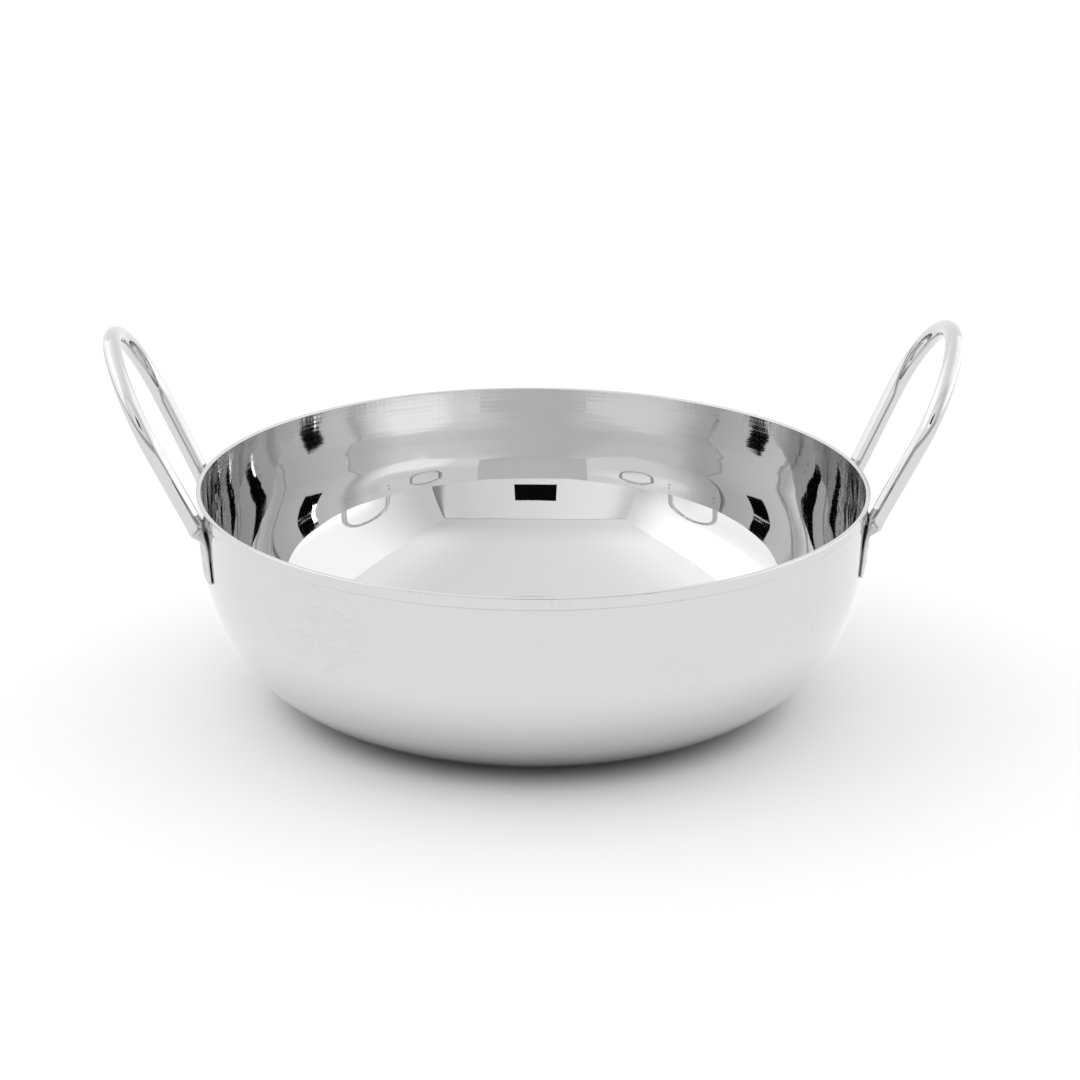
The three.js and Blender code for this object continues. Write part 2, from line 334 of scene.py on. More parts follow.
def handling_marks_group():
    """Wiped smudges and small specks of dust or dried water."""
    inputs = [
        ("Vector", "NodeSocketVector", None),
        ("Smudges", "NodeSocketFloat", 28.0),
        ("Specks", "NodeSocketFloat", 260.0),
    ]
    outputs = [("Smudge", "NodeSocketFloat"), ("Speck", "NodeSocketFloat")]
    tree, given, end = new_group("Handling marks", "ShaderNodeTree", inputs, outputs)
    place = given["Vector"]
    patches = ramp(tree, noise(tree, place, given["Smudges"], detail=3.0), 0.52, 0.74)
    wiped = stretched(tree, place, (1.0, 1.0, 3.0))
    streak_scale = product(tree, given["Smudges"], 11.0)
    streaks = ramp(tree, noise(tree, wiped, streak_scale, detail=4.0), 0.4, 0.72)

    cells = add(tree, "ShaderNodeTexVoronoi", {"Vector": place, "Scale": given["Specks"]}).outputs
    speck_core, speck_edge, bare_share = 0.02, 0.07, 0.965
    near = ramp(tree, cells["Distance"], speck_core, speck_edge, 1.0, 0.0)
    chosen = add(tree, "ShaderNodeSeparateColor", {"Color": cells["Color"]}).outputs[0]
    few = maths(tree, "GREATER_THAN", chosen, bare_share)
    feed(tree, end, {"Smudge": product(tree, patches, streaks), "Speck": product(tree, near, few)})
    return tree


def use_group(tree, make, inputs):
    """Places a shared group in a material, with that material's own values.

    The group is built the first time, and afterwards it is found by the name that its function gives it.
    """
    name = make.__name__.removesuffix("_group").replace("_", " ").capitalize()
    group = bpy.data.node_groups.get(name) or make()
    return add(tree, "ShaderNodeGroup", inputs, node_tree=group).outputs


def new_material(name):
    """A material with only its Principled BSDF and output."""
    material = bpy.data.materials.new(name)
    material.use_nodes = True
    return material, material.node_tree, material.node_tree.nodes["Principled BSDF"]


def set_metal(tree, shader, tone, rough, relief, depth, strength=1.0):
    """Gives a metal its colour and roughness, and a fine relief of that depth."""
    bump = add(tree, "ShaderNodeBump", {"Height": relief, "Distance": depth, "Strength": strength})
    inputs = {"Metallic": 1.0, "Base Color": tone, "Roughness": rough, "Normal": bump.outputs[0]}
    feed(tree, shader, inputs)


def light_deep_reflections(material, shader, place, strength):
    """A painted reflection: the steel glows where the last allowed reflection ends, in place of what that
    reflection would find, which would otherwise be black.

    What many reflections in a wavy wall show is torn into streaks, so this painted glow is too.
    """
    tree = material.node_tree
    depth = add(tree, "ShaderNodeLightPath").outputs["Glossy Depth"]
    last = maths(tree, "GREATER_THAN", depth, LAST_REFLECTION - 0.5)
    flatness, streak_scale, faintest = 6.0, 45.0, 0.03
    flat = stretched(tree, place, (1.0, 1.0, flatness))
    torn = ramp(tree, noise(tree, flat, streak_scale, detail=4.0), 0.50, 0.54, faintest, 1.0)
    feed(tree, shader, {"Emission Strength": product(tree, torn, last, strength)})
    material.cycles.emission_sampling = "NONE"


def steel_material(name, finishes, lines, breaks, line_depth, smudge, scratch, painted_deep_reflection, lip_blur):
    """Polished sheet steel with turned polishing lines, hairline scratches, smudges and specks.

    The upright wall shows the lines, and the base and corner are a clear mirror. Where the lip is blurred,
    the polish gets duller just below it and shows fine upright ribs.
    """
    material, tree, shader = new_material(name)
    place = object_place(tree)
    height = split(tree, place)["Z"]
    turned = {"Vector": place, "Lines": lines, "Breaks": breaks}
    polish = use_group(tree, turned_lines_group, turned)["Height"]
    hair = use_group(tree, hairlines_group, {"Vector": place, "Density": 70.0})["Mask"]
    marks = use_group(tree, handling_marks_group, {"Vector": place})
    dust = product(tree, marks["Speck"], 0.6)
    dirt = maths(tree, "ADD", product(tree, marks["Smudge"], smudge), dust, clamp=True)
    tone = blend(tree, dirt, finishes.steel, finishes.dulled)

    mirror, wall, lip, _ = finishes.roughness
    dull_start, dull_run, rib_run = finishes.lip_start, 4 * MM, 3.5 * MM
    smudge_haze, scratch_haze, speck_haze = 0.04, 0.12, 0.2
    on_wall = ramp(tree, height, finishes.mirror_top, finishes.polish_start)
    duller = ramp(tree, height, dull_start, dull_start + dull_run, 0, lip - wall)
    blur = ramp(tree, on_wall, 0, 1, mirror, wall)
    blur = maths(tree, "ADD", blur, product(tree, duller, lip_blur))
    rough = product(tree, ramp(tree, polish, 0.3, 0.7, 0.8, 1.2), blur)
    hazes = (
        (marks["Smudge"], smudge_haze),
        (hair, scratch_haze * scratch),
        (marks["Speck"], speck_haze),
    )
    for mask, haze in hazes:
        rough = maths(tree, "ADD", rough, product(tree, mask, haze), clamp=True)

    lines_in_mirror, rib_scale, rib_stretch, rib_height = 0.12, 900.0, 0.06, 5.0
    fine_lines = product(tree, polish, line_depth, ramp(tree, on_wall, 0, 1, lines_in_mirror, 1))
    upright = stretched(tree, place, (1.0, 1.0, rib_stretch))
    ribs = product(tree, noise(tree, upright, rib_scale), rib_height * lip_blur)
    ribs = product(tree, ribs, ramp(tree, height, dull_start, dull_start + rib_run))
    relief = maths(tree, "ADD", fine_lines, ribs)
    relief = maths(tree, "ADD", relief, product(tree, hair, -0.4 * scratch))
    set_metal(tree, shader, tone, rough, relief, 0.004 * MM)
    around = add(tree, "ShaderNodeTangent", direction_type="RADIAL", axis="Z").outputs[0]
    feed(tree, shader, {"Anisotropic": 0.9, "Anisotropic Rotation": 0.25, "Tangent": around})
    light_deep_reflections(material, shader, place, painted_deep_reflection)
    return material


def wire_material(finishes):
    """Polished drawn wire: faint lines along its length, hairlines, and a duller pressed tab."""
    material, tree, shader = new_material("Polished wire")
    place = object_place(tree)
    hair = use_group(tree, hairlines_group, {"Vector": place, "Density": 110.0})["Mask"]
    marks = use_group(tree, handling_marks_group, {"Vector": place, "Smudges": 60.0})
    dirt = maths(tree, "ADD", product(tree, marks["Smudge"], 0.25), marks["Speck"], clamp=True)
    tone = blend(tree, dirt, finishes.steel, finishes.dulled)

    on_wire = split(tree, add(tree, "ShaderNodeUVMap", uv_map="Wire").outputs[0])
    turn = product(tree, on_wire["X"], math.tau)
    lines_round, breaks_along = 14.0, 40.0
    die = {
        "X": product(tree, maths(tree, "COSINE", turn), lines_round),
        "Y": product(tree, maths(tree, "SINE", turn), lines_round),
        "Z": product(tree, on_wire["Y"], breaks_along),
    }
    drawn = noise(tree, add(tree, "ShaderNodeCombineXYZ", die).outputs[0], 1.0, detail=3.0)

    mirror, wall, _, tab = finishes.roughness
    rough = ramp(tree, drawn, 0.3, 0.7, 1.5 * mirror, wall)
    dull_below, clear_above = finishes.lip_start - 1 * MM, finishes.lip_start + 2 * MM
    pressed = ramp(tree, split(tree, place)["Z"], dull_below, clear_above, tab, 0.0)
    rough = maths(tree, "MAXIMUM", rough, pressed)
    rough = maths(tree, "ADD", rough, product(tree, hair, 0.10), clamp=True)
    relief = maths(tree, "ADD", drawn, product(tree, hair, -0.5))
    set_metal(tree, shader, tone, rough, relief, 0.0006 * MM)
    light_deep_reflections(material, shader, place, finishes.painted_deep_reflection[2])
    return material


def weld_material(finishes):
    """Dull, finely grained metal of a weld print."""
    material, tree, shader = new_material("Weld print")
    place = object_place(tree)
    grain = noise(tree, place, 4000.0, detail=3.0)
    tone = blend(tree, noise(tree, place, 900.0), finishes.weld, finishes.steel)
    rough = ramp(tree, grain, 0.2, 0.8, 0.18, 0.42)
    set_metal(tree, shader, tone, rough, grain, 0.02 * MM, strength=0.6)
    return material


def eased(value, start, end):
    """0 before start, 1 after end, and a smooth step between them."""
    share = min(max((value - start) / (end - start), 0), 1)
    return share * share * (3 - 2 * share)


class BowlForm:
    """The bowl's half section, worked out from its sizes. A point is a radius and a height.

    The inside is followed from the lip down by its turn, which is its angle from upright. The wall's turn
    changes a little on the way, then grows over the blend, until it grows as fast as the round corner's.
    """

    fine_step = 0.1 * MM
    wall_steps, corner_steps, lip_steps = 3, 8, 8

    def __init__(self, sizes):
        self.sizes = sizes
        self.rim_radius = sizes.rim_diameter / 2
        self.wall_top = sizes.height - sizes.band_height
        shortest, longest = 2 * MM, sizes.height
        for _ in range(HALVINGS):
            wall_length = (shortest + longest) / 2
            self.inside = self.descend(wall_length)
            if self.inside[-1][1] > sizes.sheet:
                shortest = wall_length
            else:
                longest = wall_length
        self.base_radius = self.inside[-1][0]
        sheet = sizes.sheet
        self.outside = [
            (radius + sheet * math.cos(turn), height - sheet * math.sin(turn))
            for radius, height, turn in reversed(self.inside)
        ]

    def descend(self, wall_length):
        """Radius, height and turn of points on the inside, from the lip to the flat base."""
        sizes, step = self.sizes, self.fine_step
        lip_turn = sizes.draft + sizes.lip_change
        radius = self.rim_radius - sizes.band_step
        radius += sizes.band_height * math.tan(sizes.draft + sizes.lip_change / 2)
        radius -= sizes.sheet / math.cos(lip_turn)
        height, turn, run, count = sizes.height, lip_turn, 0.0, 0
        tightest = 1 / (sizes.corner_radius - sizes.sheet)
        points = [(radius, height, turn)]
        while turn < math.pi / 2:
            share = min(run / wall_length, 1)
            leaning = sizes.draft_change + 4 * sizes.draft_swell * (1 - 2 * share)
            leaning = leaning / wall_length if share < 1 else 0
            bent = min(max((run - wall_length) / sizes.blend + 0.5, 0), 1)
            below_lip = min(run / sizes.lip_run, 1)
            easing = -6 * sizes.lip_change / sizes.lip_run * below_lip * (1 - below_lip)
            growth = leaning + easing + tightest * bent
            length_here = min(step, (math.pi / 2 - turn) / growth) if growth > 0 else step
            middle = turn + growth * length_here / 2
            radius -= length_here * math.sin(middle)
            height -= length_here * math.cos(middle)
            turn += growth * length_here
            run += length_here
            count += 1
            at_end = turn > math.pi / 2 - 1e-9
            if at_end or count % (self.wall_steps if bent < 1 else self.corner_steps) == 0:
                points.append((radius, height, turn))
            if at_end:
                break
        return points

    def wall_radius(self, height):
        """Outside radius of the wall at a height, without the band."""
        for (low_radius, low), (high_radius, high) in zip(self.outside, self.outside[1:]):
            if low <= height <= high:
                return low_radius + (high_radius - low_radius) * (height - low) / (high - low)
        return self.outside[-1][0]

    def ringed(self, radius, height, turn, run):
        """A point of the inside, moved by the shallow rings in the wall."""
        sizes = self.sizes
        share = height / sizes.height
        # Slope, spacing and shift, and the shares of the height between which they grow to their full depth
        rings = (
            (sizes.ring_slope, sizes.ring_coarse, 3.0, 0.63, 0.78),
            (sizes.fine_slope, sizes.ring_fine, 1.0, 0.63, 0.8),
            (sizes.top_slope, sizes.ring_top, 0.5, 0.86, 0.97),
        )
        rise = 0.0
        for slope, spacing, shift, start, full in rings:
            wave = math.tau / spacing
            rise += slope * eased(share, start, full) / wave * math.sin(run * wave + shift)
        return (radius - rise * math.cos(turn), height + rise * math.sin(turn))

    def arc(self, centre, radius, start, end, steps):
        """Points on an arc of the section."""
        turns = [start + (end - start) * step / steps for step in range(steps + 1)]
        return [(centre[0] + radius * math.cos(a), centre[1] + radius * math.sin(a)) for a in turns]

    def run(self, start, end, spacing, support):
        """Points between two ends of a straight run, with one close to each end to keep it flat."""
        distance = math.dist(start, end)
        steps = max(2, round(distance / spacing))
        between = [step / steps for step in range(1, steps)]
        shares = [support / distance, *between, 1 - support / distance]
        return [tuple(a + (b - a) * share for a, b in zip(start, end)) for share in shares]

    def inner_wall(self, top):
        """Points down the inside from a height just below the lip, with the shallow rings in the wall."""
        points, run = [], 0.0
        for before, point in zip(self.inside, self.inside[1:]):
            run += math.dist(before[:2], point[:2])
            if point[1] < top:
                points.append(self.ringed(*point, run))
        return points

    def section(self):
        """The half section, from axis to axis: up the outside, over the lip and down the inside."""
        sizes = self.sizes
        quarter = math.pi / 2
        spacing, support = 1.2 * MM, 0.08 * MM
        chamfer_spacing, chamfer_support = 0.2 * MM, 0.03 * MM
        lip, lip_height = sizes.lip_radius, sizes.height - sizes.lip_radius
        below_band = self.wall_top - sizes.band_chamfer
        wall_end = (self.wall_radius(below_band), below_band)
        band_start = (self.rim_radius, self.wall_top)
        outer_wall = [point for point in self.outside if point[1] < below_band - support]
        outer_lip = self.arc((self.rim_radius - lip, lip_height), lip, 0, quarter, self.lip_steps)
        lip_turn = self.inside[0][2]
        inner_middle = self.inside[0][0] + lip / math.cos(lip_turn) - lip * math.tan(lip_turn)
        inner_lip = self.arc((inner_middle, lip_height), lip, quarter, math.pi - lip_turn, self.lip_steps)
        inner_wall = self.inner_wall(inner_lip[-1][1] - support)
        return [
            (0, 0),
            *self.run((0, 0), outer_wall[0], 4 * spacing, support),
            *outer_wall,
            wall_end,
            *self.run(wall_end, band_start, chamfer_spacing, chamfer_support),
            band_start,
            *self.run(band_start, outer_lip[0], spacing, support),
            *outer_lip,
            *inner_lip,
            *inner_wall,
            *self.run(inner_wall[-1], (0, sizes.sheet), 4 * spacing, support),
            (0, sizes.sheet),
        ]


def section_object(name, points, rail_radius):
    """A half section from axis to axis in the XY plane, to be swept round a rail circle of that radius."""
    mesh = bpy.data.meshes.new(name)
    vertices = [(radius - rail_radius, -height, 0) for radius, height in points]
    edges = [(index, index + 1) for index in range(len(points) - 1)]
    mesh.from_pydata(vertices, edges, [])
    outline = bpy.data.objects.new(name, mesh)
    bpy.context.scene.collection.objects.link(outline)
    return outline


def revolve_tree():
    """Geometry nodes that sweep a half section round the vertical axis and leave shallow waves in it."""
    inputs = [
        ("Geometry", "NodeSocketGeometry", None),
        ("Segments", "NodeSocketInt", 96),
        ("Rail radius", "NodeSocketFloat", 0.05),
        ("Wave depth", "NodeSocketFloat", 0.0),
        ("Wave width", "NodeSocketFloat", 0.02),
        ("Wave top", "NodeSocketFloat", 0.05),
        ("Material", "NodeSocketMaterial", None),
    ]
    outputs = [("Geometry", "NodeSocketGeometry")]
    tree, given, end = new_group("Revolve section", "GeometryNodeTree", inputs, outputs)
    section = add(tree, "GeometryNodeMeshToCurve", {"Mesh": given["Geometry"]}).outputs[0]
    circle = {"Resolution": given["Segments"], "Radius": given["Rail radius"]}
    rail = add(tree, "GeometryNodeCurvePrimitiveCircle", circle, mode="RADIUS").outputs["Curve"]
    swept = add(tree, "GeometryNodeCurveToMesh", {"Curve": rail, "Profile Curve": section}).outputs[0]
    doubles = {"Geometry": swept, "Distance": 0.002 * MM}
    closed = add(tree, "GeometryNodeMergeByDistance", doubles).outputs[0]
    position = add(tree, "GeometryNodeInputPosition").outputs[0]
    wave_scale = maths(tree, "DIVIDE", 1.0, given["Wave width"])
    wave = maths(tree, "SUBTRACT", noise(tree, position, wave_scale, detail=1.0), 0.5)
    share = maths(tree, "DIVIDE", split(tree, position)["Z"], given["Wave top"])
    fade = product(tree, ramp(tree, share, 0.0, 0.2), ramp(tree, share, 0.8, 1.0, 1.0, 0.0))
    depth = product(tree, given["Wave depth"], product(tree, fade, 2.0))
    facing = add(tree, "GeometryNodeInputNormal").outputs[0]
    push = {0: facing, "Scale": product(tree, wave, depth)}
    offset = add(tree, "ShaderNodeVectorMath", push, operation="SCALE").outputs[0]
    waved = add(tree, "GeometryNodeSetPosition", {"Geometry": closed, "Offset": offset}).outputs[0]
    end_tree(tree, waved, given["Material"], end)
    return tree


def scatter_tree():
    """Geometry nodes that set a copy of a piece on each point, turned to face along the point's normal."""
    inputs = [
        ("Geometry", "NodeSocketGeometry", None),
        ("Piece", "NodeSocketObject", None),
        ("Material", "NodeSocketMaterial", None),
    ]
    outputs = [("Geometry", "NodeSocketGeometry")]
    tree, given, end = new_group("Pieces on points", "GeometryNodeTree", inputs, outputs)
    piece = add(tree, "GeometryNodeObjectInfo", {"Object": given["Piece"]}).outputs["Geometry"]
    named = "GeometryNodeInputNamedAttribute"
    facing = add(tree, named, {"Name": "facing"}, data_type="FLOAT_VECTOR").outputs["Attribute"]
    size = add(tree, named, {"Name": "size"}).outputs["Attribute"]
    turn = add(tree, "FunctionNodeAlignRotationToVector", {"Vector": facing}, axis="Z").outputs[0]
    copies = {"Points": given["Geometry"], "Instance": piece, "Rotation": turn, "Scale": size}
    placed = add(tree, "GeometryNodeInstanceOnPoints", copies).outputs[0]
    end_tree(tree, placed, given["Material"], end)
    return tree


def end_tree(tree, geometry, material, end):
    """Ends a geometry tree in real faces with their material."""
    real = add(tree, "GeometryNodeRealizeInstances", {"Geometry": geometry}).outputs[0]
    finished = add(tree, "GeometryNodeSetMaterial", {"Geometry": real, "Material": material}).outputs[0]
    feed(tree, end, {"Geometry": finished})


def run_nodes(source, tree, values, name):
    """Runs a geometry tree on an object and returns the result as a plain mesh object."""
    modifier = source.modifiers.new(name, "NODES")
    modifier.node_group = tree
    for item in tree.interface.items_tree:
        if item.in_out == "INPUT" and item.name in values:
            modifier[item.identifier] = values[item.name]
    bpy.context.view_layer.update()
    evaluated = source.evaluated_get(bpy.context.evaluated_depsgraph_get())
    mesh = bpy.data.meshes.new_from_object(evaluated)
    mesh.name = name
    source.modifiers.remove(modifier)
    bpy.data.objects.remove(source)
    piece = bpy.data.objects.new(name, mesh)
    bpy.context.scene.collection.objects.link(piece)
    return piece


def face_outwards(mesh):
    """Turns a closed mesh's faces outwards."""
    solid = bmesh.new()
    solid.from_mesh(mesh)
    bmesh.ops.recalc_face_normals(solid, faces=solid.faces)
    if solid.calc_volume(signed=True) < 0:
        bmesh.ops.reverse_faces(solid, faces=solid.faces)
    if any(not edge.is_manifold for edge in solid.edges):
        raise RuntimeError(f"{mesh.name} isn't closed")
    solid.to_mesh(mesh)
    solid.free()


def smooth(mesh, degrees):
    """Smooth shading, apart from edges sharper than an angle."""
    mesh.shade_smooth()
    mesh.set_sharp_from_angle(angle=math.radians(degrees))


class HandleForm:
    """One handle at +X, worked out from its sizes. Its wire centre lies in a plane that leans outwards.

    In that plane, side is measured along Y from the middle, and rise along the slope from the lip's level.
    """

    round_squareness = 2.0
    tab_squareness = 4.5
    facets = 48
    arch_steps, arm_steps, foot_steps, tip_steps = 56, 14, 44, 9

    def __init__(self, sizes, bowl):
        self.sizes, self.bowl = sizes, bowl
        self.wire_radius = sizes.wire / 2
        lean = sizes.lean
        self.slope = Vector((math.sin(lean), 0, math.cos(lean)))
        self.back = Vector((math.cos(lean), 0, -math.sin(lean)))
        self.centre_rise = (sizes.rise - self.wire_radius) / math.cos(lean) - sizes.loop_radius
        band_side = self.side_at_depth(bowl.sizes.band_height)
        reach = bowl.rim_radius + sizes.clearance + self.wire_radius / math.cos(lean) - sizes.press
        foot_x = math.sqrt(reach**2 - band_side**2) + bowl.sizes.band_height * math.tan(lean)
        self.loop_centre = Vector((foot_x, 0, bowl.sizes.height)) + self.slope * self.centre_rise
        self.arm_down = self.in_plane(-math.sin(sizes.spread), -math.cos(sizes.spread))
        self.arm_across = self.in_plane(math.cos(sizes.spread), -math.sin(sizes.spread))
        self.arm_top = self.loop_centre + self.arm_across * sizes.loop_radius
        self.set_seat()
        self.set_path()

    def in_plane(self, side, rise):
        """A direction in the handle's plane."""
        return Vector((0, side, 0)) + self.slope * rise

    def side_at_depth(self, depth):
        """The wire centre's side at a depth below the lip, where the arms run straight."""
        sizes = self.sizes
        below = self.centre_rise - sizes.loop_radius * math.sin(sizes.spread) + depth / math.cos(sizes.lean)
        return sizes.loop_radius * math.cos(sizes.spread) - below * math.tan(sizes.spread)

    def depth(self, drop):
        """A depth below the lip, from a drop below the band."""
        return self.bowl.sizes.band_height + drop

    def set_seat(self):
        """The flat that a tab lies on. It touches the wall just below the band and at the tab's tip."""
        bowl = self.bowl
        turn = math.asin(self.side_at_depth(self.depth(self.sizes.shoulder_end)) / bowl.rim_radius)
        outwards = Vector((math.cos(turn), math.sin(turn), 0))
        high = bowl.wall_top - self.sizes.shoulder_start
        low = bowl.wall_top - self.sizes.tip
        slant = math.atan2(bowl.wall_radius(high) - bowl.wall_radius(low), high - low)
        self.seat_outwards = outwards * math.cos(slant) - UP * math.sin(slant)
        self.seat_across = Vector((-math.sin(turn), math.cos(turn), 0))
        self.seat_down = self.seat_across.cross(self.seat_outwards)
        wall = outwards * bowl.wall_radius(high) + UP * high
        self.seat_point = wall + self.seat_outwards * self.sizes.seat_gap

    def over_seat(self, point):
        """How far a point lies out from the flat that the tab lies on."""
        return (point - self.seat_point).dot(self.seat_outwards)

    def set_path(self):
        """The wire centre of one foot: the straight arm, a bend, and the tab."""
        sizes = self.sizes
        middle = sizes.tab_thickness / 2
        to_corner = (self.over_seat(self.arm_top) - middle) / -self.arm_down.dot(self.seat_outwards)
        self.corner = self.arm_top + self.arm_down * to_corner
        self.bend_start = self.corner - self.arm_down * sizes.bend
        self.bend_end = self.corner + self.seat_down * sizes.bend
        self.tip_start = self.depth(sizes.tip) - sizes.tab_corner

    def path_at(self, depth):
        """The wire centre and its direction at a depth below the lip."""
        height = self.bowl.sizes.height - depth
        if height > self.bend_start.z:
            run = (height - self.arm_top.z) / self.arm_down.z
            return self.arm_top + self.arm_down * run, self.arm_down
        if height < self.bend_end.z:
            run = (height - self.bend_end.z) / self.seat_down.z
            return self.bend_end + self.seat_down * run, self.seat_down
        first, last = 0.0, 1.0
        for _ in range(HALVINGS):
            share = (first + last) / 2
            point = (
                self.bend_start * (1 - share) ** 2
                + self.corner * 2 * share * (1 - share)
                + self.bend_end * share**2
            )
            first, last = (share, last) if point.z > height else (first, share)
        along = (self.corner - self.bend_start) * (1 - share) + (self.bend_end - self.corner) * share
        return point, along.normalized()

    def kept_clear(self, point):
        """A point of the wire, pressed outwards where it would come too close to the bowl."""
        bowl, sizes = self.bowl, self.sizes
        if point.z >= bowl.sizes.height:
            return point
        beside_band = point.z > bowl.wall_top - bowl.sizes.band_chamfer - sizes.seat_gap
        least = (bowl.rim_radius if beside_band else bowl.wall_radius(point.z)) + sizes.seat_gap
        outwards = Vector((point.x, point.y, 0))
        shortfall = max(least - outwards.length, 0)
        return point + outwards.normalized() * shortfall

    def ring(self, centre, across, back, half_width, half_thickness, squareness):
        """One closed ring of points round the wire. A squareness of 2 is an ellipse, and more is squarer."""

        def bulge(wave):
            return math.copysign(abs(wave) ** (2 / squareness), wave)

        turns = [math.tau * step / self.facets for step in range(self.facets)]
        return [
            centre
            + across * (half_width * bulge(math.cos(turn)))
            + back * (half_thickness * bulge(math.sin(turn)))
            for turn in turns
        ]

    def arch_rings(self):
        """The round top, from the middle of the loop to where the arm begins."""
        rings = []
        round_wire = (self.wire_radius, self.wire_radius, self.round_squareness)
        for step in range(self.arch_steps + 1):
            turn = math.pi / 2 + (-self.sizes.spread - math.pi / 2) * step / self.arch_steps
            across = self.in_plane(math.cos(turn), math.sin(turn))
            centre = self.loop_centre + across * self.sizes.loop_radius
            rings.append(self.ring(centre, across, self.back, *round_wire))
        return rings

    def foot_depths(self):
        """Depths at which the foot has a ring: down the arm, along the tab and round its corners."""
        sizes = self.sizes
        arm_start = self.bowl.sizes.height - self.arm_top.z
        foot_start = self.depth(-sizes.press / math.tan(sizes.lean))
        foot_run, arm_run = self.tip_start - foot_start, foot_start - arm_start
        arm = [arm_start + arm_run * step / self.arm_steps for step in range(1, self.arm_steps)]
        foot = [foot_start + foot_run * step / self.foot_steps for step in range(self.foot_steps + 1)]
        turns = [math.pi / 2 * step / self.tip_steps for step in range(1, self.tip_steps + 1)]
        return arm + foot + [self.tip_start + sizes.tab_corner * math.sin(turn) for turn in turns]

    def thickness_at(self, depth):
        """How thick the tab is at a depth below the lip."""
        sizes = self.sizes
        share = max((depth - self.depth(sizes.shoulder_end)) / (sizes.tip - sizes.shoulder_end), 0)
        return sizes.tab_thickness + (sizes.tip_thickness - sizes.tab_thickness) * share

    def foot_ring(self, depth):
        """The foot's ring at a depth. The round wire widens and thins into the tab, which stays seated."""
        sizes = self.sizes
        point, along = self.path_at(depth)
        widened = eased(depth, self.depth(sizes.flat_start), self.depth(sizes.wide))
        across = self.arm_across.lerp(self.seat_across, widened)
        back = along.cross(across).normalized()
        across = back.cross(along).normalized()

        front = min(self.wire_radius, self.over_seat(point) / back.dot(self.seat_outwards))
        shoulder = eased(depth, self.depth(sizes.shoulder_start), self.depth(sizes.shoulder_end))
        reach = self.wire_radius + (self.thickness_at(depth) - front - self.wire_radius) * shoulder
        centre = point + back * ((reach - front) / 2)

        into_corner = max(depth - self.tip_start, 0)
        cut_back = sizes.tab_corner - math.sqrt(max(sizes.tab_corner**2 - into_corner**2, 0))
        half_width = self.wire_radius + (sizes.tab_width / 2 - self.wire_radius) * widened - cut_back
        flattened = eased(depth, self.depth(sizes.flat_start), self.depth(sizes.shoulder_end))
        squareness = self.round_squareness + (self.tab_squareness - self.round_squareness) * flattened
        ring = self.ring(centre, across, back, half_width, (reach + front) / 2, squareness)
        return [self.kept_clear(place) for place in ring]

    def rings(self):
        """All rings of the handle, from the tip of one tab over the loop to the tip of the other."""
        half = self.arch_rings() + [self.foot_ring(depth) for depth in self.foot_depths()]
        mirrored = [[Vector((p.x, -p.y, p.z)) for p in ring] for ring in reversed(half[1:])]
        return mirrored + half

    def weld_places(self, welds):
        """Places on the tab's inner face for its two welds, and how thick the tab is there."""
        lower = self.depth(self.sizes.tip) - welds.tip_distance
        places = []
        for depth in (lower - welds.spacing, lower):
            point, _ = self.path_at(depth)
            seat = point - self.seat_outwards * self.over_seat(point)
            places.append((seat, self.thickness_at(depth)))
        return places


def lofted_mesh(name, rings):
    """A closed skin over a row of rings, with a UV map that runs round and along them."""
    around = len(rings[0])
    middles = [sum(ring, Vector()) / around for ring in rings]
    lengths = [0.0]
    for before, after in zip(middles, middles[1:]):
        lengths.append(lengths[-1] + (after - before).length)
    faces, places = [], []
    for row in range(len(rings) - 1):
        here, beyond = row * around, (row + 1) * around
        for step in range(around):
            after = (step + 1) % around
            faces.append((here + step, here + after, beyond + after, beyond + step))
            places.append([(step, row), (step + 1, row), (step + 1, row + 1), (step, row + 1)])
    for row in (0, len(rings) - 1):
        faces.append(tuple(row * around + step for step in range(around)))
        places.append([(step, row) for step in range(around)])
    mesh = bpy.data.meshes.new(name)
    mesh.from_pydata([point for ring in rings for point in ring], [], faces)
    uv = mesh.uv_layers.new(name="Wire")
    for face, corners in zip(mesh.polygons, places):
        for loop, (step, row) in zip(face.loop_indices, corners):
            uv.data[loop].uv = (step / around, lengths[row])
    return mesh


def finish_piece(piece, slot_name, *nodes):
    """Fixes a finished piece to the dish in place of its plain nodes."""
    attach(piece, "root")
    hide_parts(*nodes)


class DISH_OT_bowl(bpy.types.Operator):
    """Sweep the bowl's half section round and give it its polish."""

    bl_idname = "dish.bowl"
    bl_label = "Bowl"

    def execute(self, context):
        sizes, finishes = context.scene.dish_bowl, context.scene.dish_finishes
        form = BowlForm(sizes)
        outline = section_object("bowl_section", form.section(), form.rim_radius)
        # Painted reflection glow of the inside and the outside, where the last allowed reflection ends
        deep_inside, deep_outside, _ = finishes.painted_deep_reflection
        outside = steel_material(
            "Polished outside",
            finishes,
            lines=700.0,
            breaks=2.0,
            line_depth=0.25,
            smudge=0.2,
            scratch=1.0,
            painted_deep_reflection=deep_outside,
            lip_blur=0.0,
        )
        inside = steel_material(
            "Polished inside",
            finishes,
            lines=1400.0,
            breaks=3.0,
            line_depth=1.2,
            smudge=0.12,
            scratch=0.5,
            painted_deep_reflection=deep_inside,
            lip_blur=1.0,
        )
        values = {
            "Segments": sizes.segments,
            "Rail radius": form.rim_radius,
            "Wave depth": sizes.wave_depth,
            "Wave width": sizes.wave_width,
            "Wave top": form.wall_top,
            "Material": outside,
        }
        bowl = run_nodes(outline, revolve_tree(), values, "bowl_polished")
        face_outwards(bowl.data)
        bowl.data.materials.append(inside)
        for face in bowl.data.polygons:
            out = Vector((face.center.x, face.center.y, 0))
            faces_in = face.normal.dot(out) < 0 if out.length > form.base_radius else face.normal.z > 0
            face.material_index = 1 if faces_in else 0
        smooth(bowl.data, degrees=50)
        finish_piece(bowl, "bowl_steel", "bowl")
        return {"FINISHED"}


